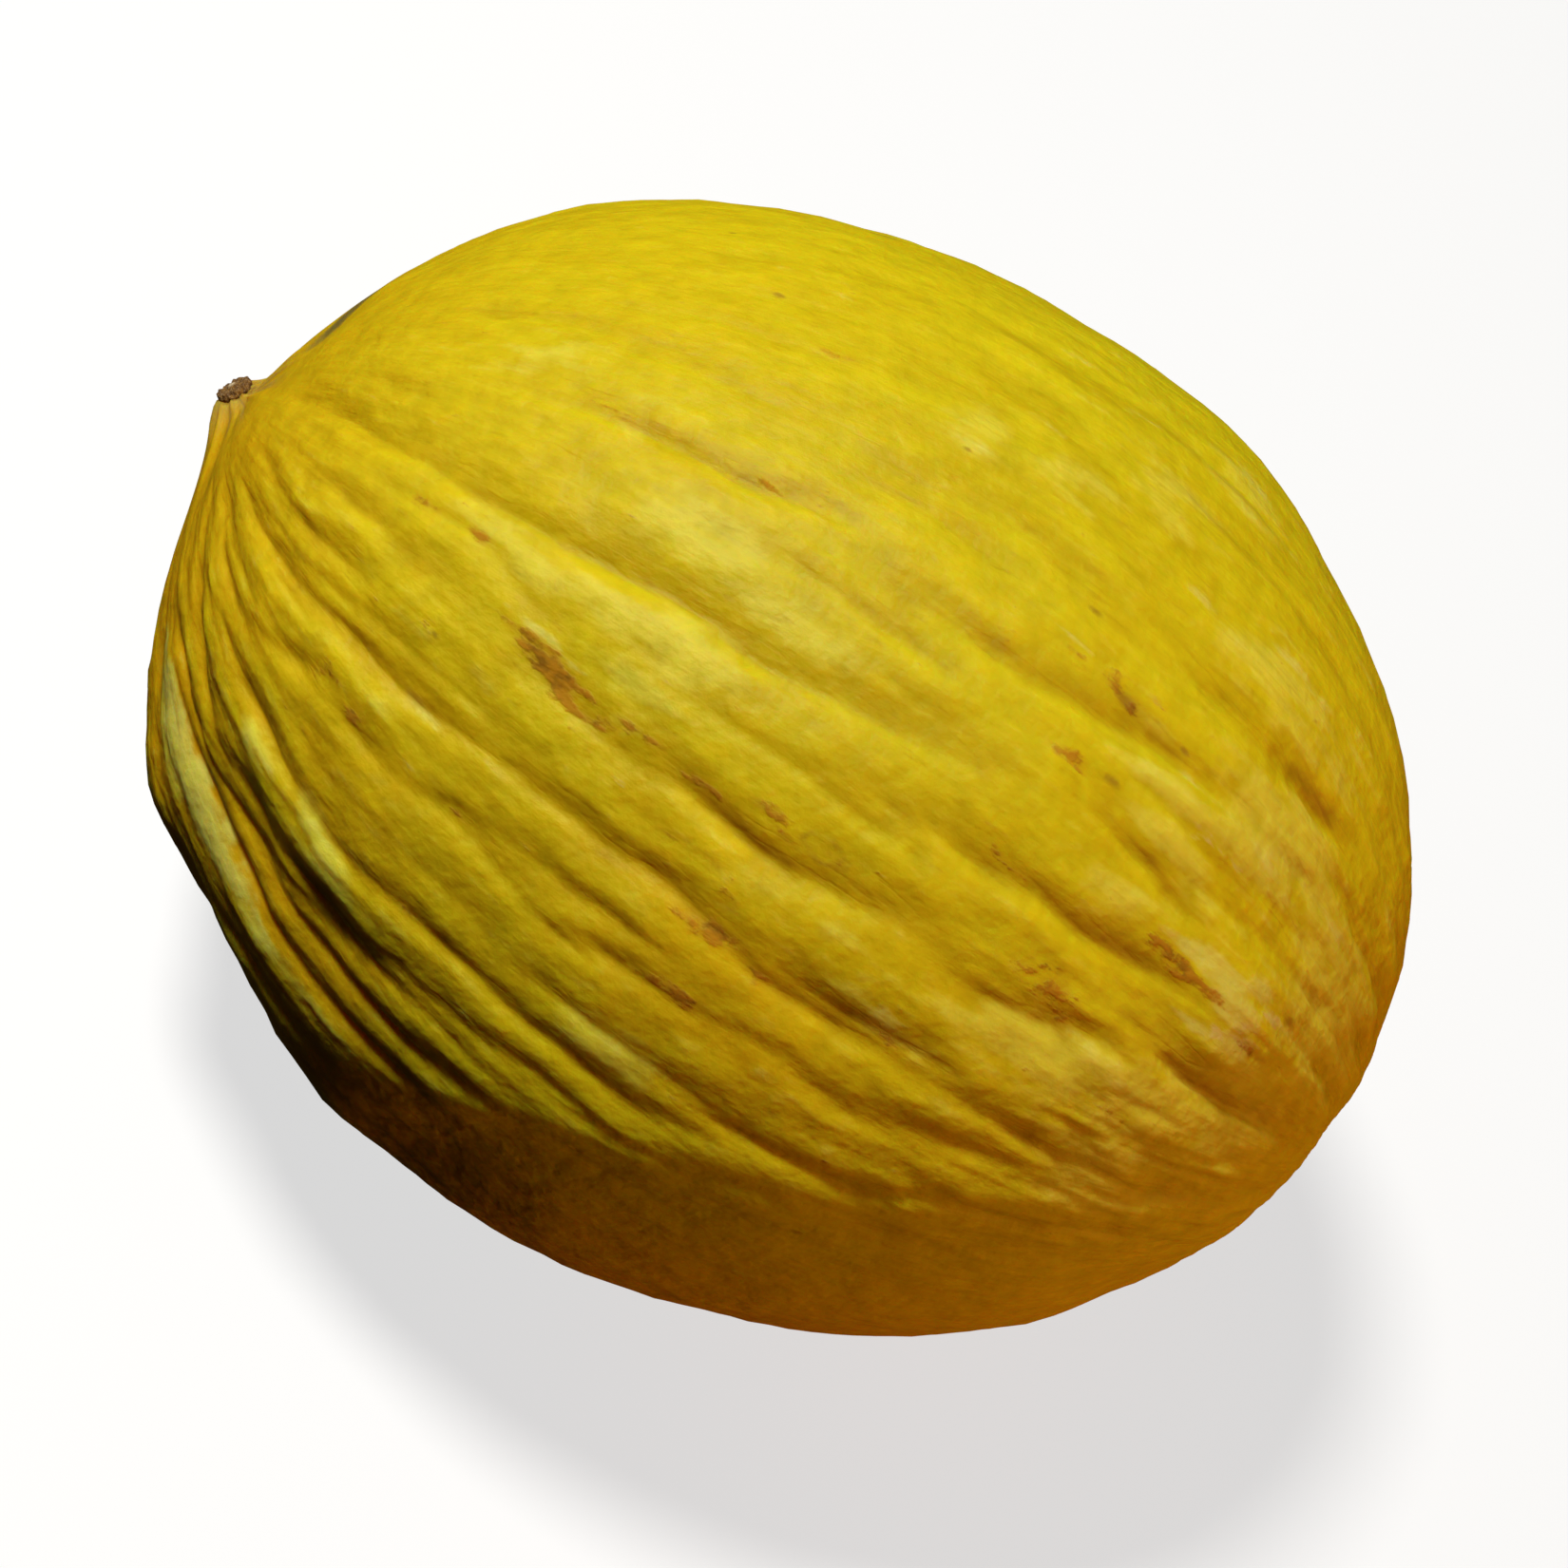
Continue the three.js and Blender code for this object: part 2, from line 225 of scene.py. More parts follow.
# How strongly the rind is wrinkled round the fruit, near each end: (azimuth, share).
stemSideWrinkles = [(-55, 0.2), (8, 0.25), (24, 0.5), (40, 0.75), (60, 0.9), (80, 0.9), (112, 1),
                    (135, 0.6), (160, 0.3), (185, 0.25), (205, 0.8), (235, 1), (265, 0.7), (290, 0.3),
                    (304, 0.2)]
blossomSideWrinkles = [(-50, 0.2), (-20, 0.4), (0, 0.6), (20, 0.8), (45, 0.9), (68, 0.8), (82, 0.4),
                       (94, 0.14), (150, 0.12), (200, 0.5), (235, 0.8), (265, 0.6), (290, 0.3), (310, 0.2)]

# The rind's noises: seed, cells round the fruit, cells from end to end, height, and how much higher
# where the rind is wrinkled most.
rindNoise = {
    "sway": (11, 16, 9, 1.7, 0),          # degrees, as the next two
    "wander": (12, 60, 34, 1.1, 0),
    "waver": (20, 130, 64, 0.5, 0),
    "uneven": (13, 26, 19, 1.2, 0),       # share of a furrow's depth
    "ridges": (14, 50, 8, 1, 0),          # the three sizes of wrinkle
    "ridgelets": (15, 104, 22, 1, 0),
    "creases": (18, 190, 44, 1, 0),
    "lumps": (16, 76, 34, 0.38, 0.42),    # mm, as the next two
    "pimples": (19, 150, 66, 0.2, 0.14),
    "dents": (17, 17, 9, 0.9, 0.2),
}
neckRibSeed, neckRibs = 21, 34
roundReach = np.array([melonShape["halfLength"], melonShape["halfWidth"], melonShape["halfWidth"]])


def roundDirection(station, azimuth):
    # unit direction (-cos s, -sin s sin a, sin s cos a), with both ends drawn aside by ((1 +- cos s) / 2)^2
    s, a = np.radians(station), np.radians(azimuth)
    n = np.stack(np.broadcast_arrays(-np.cos(s), -np.sin(s) * np.sin(a), np.sin(s) * np.cos(a)), axis=-1)
    for key, sign in (("stemEndDrift", 1), ("blossomEndDrift", -1)):
        share, towards = melonShape[key]
        towards = math.radians(towards)
        weight = np.broadcast_to(share * ((1 + sign * np.cos(s)) / 2) ** 2, n.shape[:-1])
        n = n + weight[..., None] * np.array([0, -math.sin(towards), math.cos(towards)])
    return n / np.linalg.norm(n, axis=-1, keepdims=True)


def roundPoint(n):
    return n * roundReach


def roundNormal(n):
    m = n / roundReach
    return m / np.linalg.norm(m, axis=-1, keepdims=True)


def swellHeight(n):
    # each swell is height * e^-(arc / spread)^2
    height = np.zeros(n.shape[:-1])
    for tall, station, azimuth, spread in melonShape["swells"]:
        towards = roundDirection(np.array(float(station)), np.array(float(azimuth)))
        arc = np.degrees(np.arccos(np.clip(n @ towards, -1, 1)))
        height += tall * np.exp(-(arc / spread) ** 2)
    return height


def alongRing(turn, ringRadius):
    # mm round a ring for a turn in degrees, taken the short way
    return np.radians((turn + 180) % 360 - 180) * ringRadius


def furrowDepth(station, azimuth, ringRadius, furrows, wander, fade=5):
    # each valley is a crease: depth * e^-(distance / width)^1.1 on its gentle side and
    # e^-(distance / steepWidth) on its steep side, rising out over `fade` degrees at its ends
    total = np.zeros(np.broadcast_shapes(station.shape, azimuth.shape))
    for depth, width, line in furrows:
        line = np.array(line, float)
        valley = np.interp(station, line[:, 0], line[:, 1])
        present = smoothStep(station, line[0, 0] - fade, line[0, 0] + fade)
        present = present * (1 - smoothStep(station, line[-1, 0] - fade, line[-1, 0] + fade))
        across = alongRing(azimuth + wander - valley, ringRadius)
        gentle = np.exp(-(np.maximum(-across, 0) / width) ** 1.1)
        steep = np.exp(-np.maximum(across, 0) / min(0.6 * width, 1.3 + 0.1 * width))
        total += depth * present * gentle * steep
    return total


def shelfDepth(station, azimuth, ringRadius):
    # a smooth step down across the shelf's line, rising back to nothing farther on
    s = lowShelf
    line = np.array(s["line"], float)
    across = alongRing(azimuth - np.interp(station, line[:, 0], line[:, 1]), ringRadius)
    present = smoothStep(station, line[0, 0] - 6, line[0, 0] + 8)
    present = present * (1 - smoothStep(station, line[-1, 0], 156))
    step = smoothStep(across, -1, s["reach"]) * (1 - smoothStep(across, s["fadeFrom"], s["fadeTo"]))
    return s["depth"] * present * step


def smoothAround(height, reach):
    # mean over a window of columns, taken twice, closing on itself round the fruit
    for _ in range(2):
        padded = np.concatenate([height[:, -reach:], height, height[:, :reach]], axis=1)
        sums = np.cumsum(np.pad(padded, ((0, 0), (1, 0))), axis=1)
        height = (sums[:, 2 * reach + 1:] - sums[:, :-2 * reach - 1]) / (2 * reach + 1)
    return height


def wrinkleShare(station, azimuth):
    # from the stem side's share to the blossom side's, between stations 66 and 98
    stemSide, blossomSide = aroundTurn(azimuth, stemSideWrinkles), aroundTurn(azimuth, blossomSideWrinkles)
    return stemSide + smoothStep(station, 66, 98) * (blossomSide - stemSide)


def rindRelief(station, azimuth, ringRadius, n, aboveGround):
    # heights along the rind's normal: swells, less the furrows, plus rounded wrinkles between sharp
    # valleys, small lumps along the ridges and broad dents, all fading towards the ground spot
    wrinkled = wrinkleShare(station, azimuth)

    def layer(name, turned=azimuth):
        seed, around, along, height, higher = rindNoise[name]
        noise = ringNoise(makeLattice(seed), station, turned, around, along)
        return (height + higher * wrinkled) * noise

    sway = layer("sway")
    wander = 0.1 * sway + layer("wander") + layer("waver")
    midway = smoothStep(station, 12, 34) * (1 - smoothStep(station, 138, 174))
    uneven = 0.9 + layer("uneven")
    furrows = furrowDepth(station, azimuth, ringRadius, mainFurrows, wander) * np.clip(uneven, 0.6, 1.35)
    fine = furrowDepth(station, azimuth, ringRadius, fineFurrows, wander)
    furrows = furrows + fine * np.clip(uneven, 0.4, 1.35)
    furrows = furrows * (1 - 0.24 * smoothStep(azimuth, 48, 62) * (1 - smoothStep(azimuth, 112, 126)))
    # what the furrows take away is partly given back beside them, as rounded shoulders
    relief = 0.45 * smoothAround(furrows, 24) - furrows
    # a wrinkle is a noise's absolute value less its mean, drawn aside with the furrows
    drawn = azimuth + 2.6 * sway + 1.5 * wander
    ridges, ridgelets, creases = [np.abs(layer(name, drawn)) - 0.22
                                  for name in ("ridges", "ridgelets", "creases")]
    # the front keeps to its own furrows, except near the blossom end, where the finer wrinkles are crisper
    shown = 1 - 0.6 * smoothStep(azimuth, 20, 34) * (1 - smoothStep(azimuth, 96, 110))
    shown = shown + (1 - shown) * 0.6 * smoothStep(station, 96, 112)
    crisp = 0.5 + 0.7 * smoothStep(station, 98, 122)
    wrinkles = 1.1 * shown * ridges + crisp * ridgelets + (crisp - 0.26) * creases
    relief = relief + wrinkled * midway * wrinkles
    relief = relief + midway * (layer("lumps") + layer("pimples")) + layer("dents")
    relief = relief - shelfDepth(station, azimuth, ringRadius)
    return relief * smoothStep(aboveGround, 2, 16) + swellHeight(n)


def rindEnd(station):
    # the round's point and normal at one of its two ends
    n = roundDirection(np.array(station), np.array(0.0))
    return roundPoint(n), roundNormal(n)


def neckHighWay():
    high = math.radians(melonShape["neckHighSide"])
    return np.array([0, -math.sin(high), math.cos(high)])


def neckRise(point, azimuth, neckBase):
    # the neck's end is a slanting flat inside its rim, and dies away outside it, sooner on its upper side
    s = melonShape
    farthest, swing, shortSide = s["neckReach"]
    reach = farthest - swing * np.cos(np.radians(azimuth - shortSide))
    away = point - neckBase
    beyondRim = np.maximum(0, np.linalg.norm(away, axis=-1) - s["neckRimRadius"])
    slanted = s["neckSlant"] * np.clip(away @ neckHighWay(), -s["neckRimRadius"], s["neckRimRadius"])
    return (s["neckHeight"] + slanted) * np.exp(-beyondRim / reach), beyondRim


def crowdedStations(steps, crowding):
    # t less a share of sin(2 pi t) / 2 pi, which packs the stations towards both ends
    t = np.linspace(0, 1, steps + 1)
    return 180 * (t - crowding * np.sin(2 * np.pi * t) / (2 * np.pi))


def crowdedAzimuths(steps):
    # columns packed closer where the rind is wrinkled: equal steps of the running sum of 0.5 + wrinkles
    turn = np.linspace(0, 360, 1441)
    middle = 0.5 * (turn[1:] + turn[:-1])
    packing = 0.5 + 0.5 * (aroundTurn(middle, stemSideWrinkles) + aroundTurn(middle, blossomSideWrinkles))
    running = np.concatenate([[0], np.cumsum(packing)])
    return np.interp(np.arange(steps) * running[-1] / steps, running, turn)


def asList(grid):
    # rows and columns as one list, with the first and the last row each drawn to one entry
    return np.concatenate([grid[0, :1], grid[1:-1].reshape(-1, *grid.shape[2:]), grid[-1, :1]])


def wrapMesh(name, points):
    # a closed skin over rows and columns of points, which fans out from the two single ones
    vertices = asList(points)
    here = np.arange(1, len(vertices) - 1).reshape(-1, points.shape[1])
    beside = np.roll(here, -1, axis=1)
    quads = np.stack([here[:-1], beside[:-1], beside[1:], here[1:]], axis=-1).reshape(-1, 4)
    first, last = np.zeros_like(here[0]), np.full_like(here[0], len(vertices) - 1)
    firstFan = np.stack([first, beside[0], here[0]], axis=-1)
    lastFan = np.stack([last, here[-1], beside[-1]], axis=-1)
    mesh = bpy.data.meshes.new(name)
    mesh.from_pydata(vertices.tolist(), [], quads.tolist() + firstFan.tolist() + lastFan.tolist())
    mesh.polygons.foreach_set("use_smooth", np.ones(len(mesh.polygons), bool))
    return mesh


def storeValues(mesh, name, values):
    # one number or one vector for each point of wrapMesh's grid
    kind, field = ("FLOAT", "value") if values.ndim == 2 else ("FLOAT_VECTOR", "vector")
    flat = asList(values).astype(np.float32).ravel()
    mesh.attributes.new(name, kind, "POINT").data.foreach_set(field, flat)


def addObject(name, data):
    thing = bpy.data.objects.new(name, data)
    bpy.context.scene.collection.objects.link(thing)
    return thing


def addPiece(name, mesh, material, node):
    mesh.materials.append(material)
    piece = addObject(name, mesh)
    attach(piece, "root")
    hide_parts(node)
    return piece


# What colours the rind: (station, azimuth, length, width, strength), sizes in mm along and across.
rindMarks = {
    "scuff": [  # brown corky scars
        (63, 45.8, 2.6, 1.1, 1.25), (65.2, 46.8, 3, 1.9, 1.4), (67.8, 47.5, 3, 2.3, 1.35),
        (66.2, 45.7, 2.4, 1, 0.9), (69.4, 46.9, 1.6, 0.9, 0.9), (69.8, 48.9, 1.6, 0.8, 0.85),
        (71.8, 48.4, 1.9, 1.2, 0.95), (73.6, 47.4, 2, 1.1, 0.95), (75.4, 46.8, 2.4, 1, 1.2),
        (73, 51, 1.5, 1, 1.2), (77.4, 47.3, 1.4, 0.8, 0.9), (81.8, 47.3, 2.8, 0.9, 1.15),
        (85, 52.6, 2.6, 0.9, 0.95), (86.6, 46, 2.4, 1.8, 1), (88.8, 46.8, 1.8, 1, 0.8),
        (91.8, 45.9, 2, 1.5, 0.7), (95.5, 20.5, 2.6, 0.9, 0.6), (80.5, 53, 1.2, 0.8, 0.9),
        (49.2, 64.4, 2.6, 1.1, 0.85), (53.8, 65.7, 3, 1.6, 0.9), (106.4, 17.5, 3, 1.3, 1.05),
        (107.8, 18.4, 1.8, 1.2, 1), (105.2, 26, 3.2, 1.3, 0.85), (112, 44.8, 4, 2, 0.9),
        (111.4, 43, 3, 1.3, 0.8), (101.3, 17.4, 2, 0.6, 0.6), (118.5, 35, 3, 1.6, 0.9),
        (120.5, 35.5, 3, 1.8, 1.1), (123.5, 36, 3, 1.6, 1), (131.6, 38.2, 3.6, 1.2, 0.9),
        (75.6, 0.8, 4, 1.4, 0.6), (55, 39.6, 3, 1.1, 0.8), (48.5, 40, 4, 1.1, 0.8),
        (104.4, 37.4, 4, 1.2, 0.8), (87.6, 64.9, 5, 1.7, 0.9), (87.6, 58, 5, 1.8, 0.95),
        (123, 52.6, 3, 1.1, 0.8), (38.4, 85, 2.6, 1.4, 0.9), (82.6, 5.2, 4, 1.6, 0.5),
        (75, 19.6, 3, 1, 0.8), (60.6, 19.2, 3.6, 1.1, 0.6), (60, 240, 7, 2.6, 0.9),
        (84, 224, 6, 2.2, 0.8), (95, 262, 8, 2.2, 0.7), (44, 208, 5, 2.4, 0.6), (126, 236, 5, 3, 0.8),
        (72, 300, 6, 1.6, 0.5), (88, 54.5, 1.6, 0.7, 0.85), (93, 59, 3, 1.2, 0.95),
        (48, 72.5, 2.4, 0.9, 0.85), (38, 81, 1.6, 0.7, 0.8), (66, 65, 2, 0.9, 0.7),
        (103.6, 57.6, 2.2, 1.1, 1), (114, 46.5, 2.6, 1.2, 1), (126.4, 23, 1.8, 1.1, 0.7),
    ],
    "pink": [  # pale, rubbed, faintly pink
        (126.5, 38.9, 2.4, 1.4, 1.1), (128.5, 37.2, 2.6, 1.6, 1.2), (131.5, 33.5, 3, 1.6, 0.9),
        (130.2, 37.6, 3.4, 1.2, 0.9), (75, 51.5, 6, 3, 0.4), (118, 24, 8, 2.4, 0.4),
        (121.5, 52.6, 4, 1.6, 0.5), (98, 250, 8, 4, 0.6),
    ],
    "bleachedAndHighlit": [  # cream, where the colour has gone, and painted highlights along some ridge crests
        (32, 103, 7, 3, 0.7), (36, 101.8, 8, 3.4, 1.1), (41, 101.3, 8, 3.4, 1.1),
        (46, 101.3, 8, 3.4, 1.1), (51, 100.5, 7, 2.6, 1), (56, 101, 7, 2, 0.7),
        (100.5, 16.4, 3.4, 0.7, 0.9), (110.5, 22, 6, 2, 0.5), (116, 20.5, 8, 2.4, 0.6),
        (124, 20.5, 7, 3, 0.65), (128, 20.5, 6, 3, 0.6), (135, 19, 6, 2.4, 0.7), (119, 0, 14, 1.6, 0.6),
        (110, 3, 6, 1.4, 0.5), (127.5, -3, 7, 1.6, 0.5), (90.5, 3.5, 7, 1.4, 0.3),
        (95.5, -3.5, 4, 1.4, 0.5), (94.5, -17.5, 6, 2, 0.5), (99, -14.5, 6, 2, 0.6),
        (110.5, -21, 5, 2, 0.6), (118, 48, 6, 1.6, 0.45), (121, 49, 6, 1.8, 0.45), (124, 50, 5, 1.8, 0.5),
        # (84.5, 73.5), the five marks near azimuth 80 between stations 45 and 58.5, (95, 87.4), (64.5, 44.6)
        # and (68, 45.3) are painted highlights along ridge crests
        (102, 55.5, 3.4, 1.6, 0.8), (84.5, 73.5, 2.6, 1, 0.8), (129.5, 56.5, 4, 1.6, 0.5),
        (53.6, 79.4, 5, 0.7, 0.7), (49, 80.4, 4, 0.7, 0.85), (57, 79.9, 4, 0.7, 0.6),
        (58.5, 81, 3, 0.8, 0.5), (45, 81.2, 3, 0.7, 0.6), (51.5, 69.5, 5, 1.2, 0.25),
        (58, 59.5, 5, 1.4, 0.3), (71, 54, 5, 1.4, 0.5), (95, 87.4, 5, 0.8, 0.7), (133, 33, 5, 2, 0.5),
        (64.5, 44.6, 5, 0.9, 0.85), (68, 45.3, 4, 0.8, 0.7), (121, 33.6, 5, 1.4, 1),
        (124.5, 33.6, 5, 1.8, 1.2), (127, 35.6, 5, 2.8, 1.3), (128.5, 32, 4, 2, 1),
        (129, 39, 5, 1.4, 1.2), (124.6, 39.6, 4, 1, 0.9), (48, 250, 9, 3, 0.5), (110, 236, 12, 5, 0.5),
    ],
    "pale": [  # lemon-green mottling
        (56.5, 38, 9, 3, 0.8), (61, 39.5, 8, 3, 0.9), (68.5, 38.5, 9, 3, 0.9),
        (75.5, 38, 8, 4, 1.1), (73, 43.5, 6, 2.4, 1), (82, 30, 9, 5, 0.9), (72.5, 27.5, 10, 6, 0.9),
        (50.5, 14.5, 12, 7, 0.7), (62, 18, 14, 7, 0.5), (73.5, 47.5, 5, 2, 0.7), (94, 1, 22, 7, 0.6),
        (114, 22.4, 9, 2.2, 1.1), (120, 21.6, 8, 2.2, 1.1), (125, 22, 6, 2.2, 1),
        (115, 26.6, 8, 2.2, 1), (119, 28.8, 6, 1.8, 0.8), (121, 16, 8, 3.2, 1.1),
        (126.5, 12.8, 5, 2.4, 1), (110, 18.4, 6, 2.4, 0.9), (113, 33.6, 6, 2, 0.7),
        (114, 50.5, 16, 5, 1), (124, 50, 12, 6, 0.9), (102, 57, 12, 4, 0.7), (85, 74, 10, 5, 0.9),
        (125, 18, 18, 8, 1), (111, -18, 20, 8, 0.6), (120, 4, 20, 8, 0.7), (104, -6, 16, 8, 0.5),
        (140, 26, 22, 15, 1), (133, 46, 18, 10, 0.9), (126, 60, 14, 8, 0.8), (36, 104, 14, 4, 1.2),
        (46, 101.5, 12, 4, 1), (58, 101, 16, 3.4, 0.6), (54, 79, 12, 3, 0.6), (56, 52, 12, 4, 0.4),
        (135, 44, 12, 6, 0.7), (66, 228, 26, 9, 0.8), (104, 244, 22, 12, 0.8), (130, 262, 20, 12, 0.7),
        (84, 275, 18, 8, 0.6),
    ],
    "smudgeAndShade": [  # a dark grey-brown band by the neck that is painted shade along the dent there, and soft grey-brown patches along the far side
        (14, -3, 3, 4.4, 0.7), (15, -8, 3.2, 4.8, 0.95), (16.1, -13, 3.4, 5, 1.05),
        (17.3, -18, 3.6, 5, 1.05), (18.6, -23, 3.6, 5, 1), (20, -28, 3.6, 5, 0.8),
        (21.6, -33, 3.6, 5, 0.5), (73, -33, 7, 2.4, 0.6), (119, -22, 6, 2.4, 0.5), (30, 300, 14, 5, 0.5),
    ],
}

# A broad patch of more orange rind, given as the marks are.
warmPatch = (87, 64, 38, 23, 0.36)

# Small round spots: (station, azimuth, ring radius in mm, thickness in mm), a dot where the radius is 0.
rindSpots = [
    (92, 46, 1.3, 0.8), (102, 12.5, 0, 0.7), (108.5, 25.5, 0, 0.9), (106.9, 18, 0, 1.2),
    (68, -5.6, 0, 0.8), (56.4, 51.7, 0, 0.7), (134, 32, 0, 1.1), (106, 83.6, 0, 0.7), (61, -18, 0, 0.5),
    (88, 5, 0, 0.5), (112.8, 18.2, 0, 0.6), (50, 230, 0, 0.9), (92, 268, 0, 0.8), (70, 200, 0, 0.8),
]


def markStrength(station, azimuth, ringRadius, marks):
    # each mark is strength * e^-(along^2 + across^2), with distances over its own length and width
    perDegree = np.pi * 0.5 * (melonShape["halfLength"] + melonShape["halfWidth"]) / 180
    total = np.zeros(np.broadcast_shapes(station.shape, azimuth.shape))
    for s, a, length, width, strength in marks:
        along = (station - s) * perDegree / length
        across = alongRing(azimuth - a, ringRadius) / width
        total = np.maximum(total, strength * np.exp(-along ** 2 - across ** 2))
    return total


def melonSurface():
    # the round, raised by the relief along its normal and by the neck along the neck's own line,
    # then pressed flat below: z becomes half of z + sqrt(z^2 + softness^2)
    s = melonShape
    station = crowdedStations(s["stationSteps"], s["endCrowding"])[:, None]
    azimuth = crowdedAzimuths(s["azimuthSteps"])[None, :]
    centreHeight = s["halfWidth"] - s["flatSpotDepth"]
    n = roundDirection(station, azimuth)
    point = roundPoint(n)
    normal = roundNormal(n)
    ringRadius = s["halfWidth"] * np.sin(np.radians(station))
    relief = rindRelief(station, azimuth, ringRadius, n, point[..., 2] + centreHeight)
    neckBase, neckAxis = rindEnd(0.0)
    rise, beyondRim = neckRise(point, azimuth, neckBase)
    ribs = ringNoise(makeLattice(neckRibSeed), station * 0, azimuth, neckRibs, 1)
    onNeck = smoothStep(beyondRim, 0, 3) * (1 - smoothStep(beyondRim, 8, 24))
    relief = relief + s["neckRibHeight"] * onNeck * ribs
    fromBlossom = np.linalg.norm(point - rindEnd(180.0)[0], axis=-1)
    scarRing = np.exp(-((fromBlossom - s["scarRadius"]) / s["scarRingWidth"]) ** 2)
    scarDip = np.exp(-(fromBlossom / s["scarDipReach"]) ** 2)
    relief = relief + s["scarRingHeight"] * scarRing - s["scarDip"] * scarDip
    place = point + normal * relief[..., None] + neckAxis * rise[..., None]
    place[..., 2] += centreHeight
    lift = place[..., 2]
    place[..., 2] = 0.5 * (lift + np.sqrt(lift ** 2 + s["flatSpotSoftness"] ** 2))
    hollow = smoothAround(relief, 9) - relief
    # the valleys' darker colour is partly painted shade, so the pattern is moved two columns towards the
    # top, onto the shaded upper side of each valley
    nearSide = smoothStep(np.sin(np.radians(azimuth)), -0.2, 0.2)
    hollow = nearSide * np.roll(hollow, -2, axis=1) + (1 - nearSide) * np.roll(hollow, 2, axis=1)
    wrinkled = wrinkleShare(station, azimuth)
    plainer = smoothStep(azimuth, 24, 30) * (1 - smoothStep(azimuth, 38, 43))
    plainer = 1 - 0.5 * plainer * (1 - smoothStep(station, 96, 108))
    # the orange below is painted shade: it rises as the rind faces down, and a little near the neck
    down = -n[..., 2]
    stemShadeWarmth = 0.05 + 0.74 * smoothStep(down, -0.82, 0.34) + 0.12 * (1 - smoothStep(station, 14, 56))
    blossomShadeWarmth = smoothStep(down, -0.1, 0.6) * (1 - 0.3 * smoothStep(station, 108, 150))
    warmthAndShade = stemShadeWarmth + smoothStep(station, 62, 92) * (blossomShadeWarmth - stemShadeWarmth)
    warmthAndShade = np.maximum(warmthAndShade, markStrength(station, azimuth, ringRadius, [warmPatch]))
    calm = 1 - np.clip(1.3 * wrinkled - 0.15, 0, 1)
    calm = calm + 0.35 * smoothStep(station, 92, 112) + 0.45 * smoothStep(station, 114, 136)
    values = {
        "hollow": np.clip(hollow / 1.1 * plainer, -1, 1.4),
        "neck": np.exp(-beyondRim / 5.0),
        "neckRim": 1 - smoothStep(beyondRim, -0.5, 1.2),
        "ground": 1 - smoothStep(np.linalg.norm(place * [1, 1.15, 1.6], axis=-1), 22, 52),
        "blossomScar": 1 - smoothStep(fromBlossom, 5.0, 8.5),
        "warmAndShade": warmthAndShade,
        "calm": np.clip(calm, 0, 1),
        "clearOfEnds": smoothStep(np.sin(np.radians(station)), 0.1, 0.6) + 0 * azimuth,
    }
    for name, marks in rindMarks.items():
        values[name] = markStrength(station, azimuth, ringRadius, marks)
    angle = np.radians(azimuth)
    grain = np.stack(np.broadcast_arrays(np.cos(angle), np.sin(angle), station / 180), axis=-1)
    return place, values, grain


def feed(node, inputs):
    # links what comes from a socket, and sets the rest directly
    for name, value in inputs.items():
        if isinstance(value, bpy.types.NodeSocket):
            node.id_data.links.new(value, node.inputs[name])
        else:
            node.inputs[name].default_value = value


def addNode(tree, kind, inputs=None, **settings):
    node = tree.nodes.new(kind)
    for name, value in settings.items():
        setattr(node, name, value)
    feed(node, inputs or {})
    return node


def treeOf(values):
    # the node tree of the first socket among the values
    return next(value.id_data for value in values if isinstance(value, bpy.types.NodeSocket))


def mathNode(operation, *values):
    return addNode(treeOf(values), "ShaderNodeMath", dict(enumerate(values)), operation=operation).outputs[0]


def vectorNode(operation, *values):
    return addNode(treeOf(values), "ShaderNodeVectorMath", dict(enumerate(values)), operation=operation)


def plus(first, *others):
    for other in others:
        first = mathNode("ADD", first, other)
    return first


def minus(a, b):
    return mathNode("SUBTRACT", a, b)


def times(a, b):
    return mathNode("MULTIPLY", a, b)


def stepNode(value, low, high):
    # 0 below low, 1 above high and smooth between
    inputs = {"Value": value, "From Min": low, "From Max": high}
    node = addNode(value.id_data, "ShaderNodeMapRange", inputs, interpolation_type="SMOOTHSTEP")
    return node.outputs["Result"]


def mixColour(share, under, over, how="MIX"):
    # the mix node's inputs 0, 6 and 7 are its share and its two colours
    colours = [c if isinstance(c, bpy.types.NodeSocket) else (*c, 1) for c in (under, over)]
    inputs = {0: share, 6: colours[0], 7: colours[1]}
    node = addNode(treeOf(inputs.values()), "ShaderNodeMix", inputs, data_type="RGBA", blend_type=how)
    return node.outputs[2]


def readValue(tree, name, vector=False):
    node = addNode(tree, "ShaderNodeAttribute", attribute_name=name)
    return node.outputs["Vector" if vector else "Fac"]


def makeGroup(name, inputs, outputs):
    # inputs are name: start value, where None stands for a vector
    group = bpy.data.node_groups.new(name, "ShaderNodeTree")
    for label, value in inputs.items():
        kind = "NodeSocketVector" if value is None else "NodeSocketFloat"
        socket = group.interface.new_socket(label, in_out="INPUT", socket_type=kind)
        if value is not None:
            socket.default_value = value
    for label in outputs:
        group.interface.new_socket(label, in_out="OUTPUT", socket_type="NodeSocketFloat")
    return group, group.nodes.new("NodeGroupInput"), group.nodes.new("NodeGroupOutput")


def useGroup(group, output, **inputs):
    return addNode(treeOf(inputs.values()), "ShaderNodeGroup", inputs, node_tree=group).outputs[output]


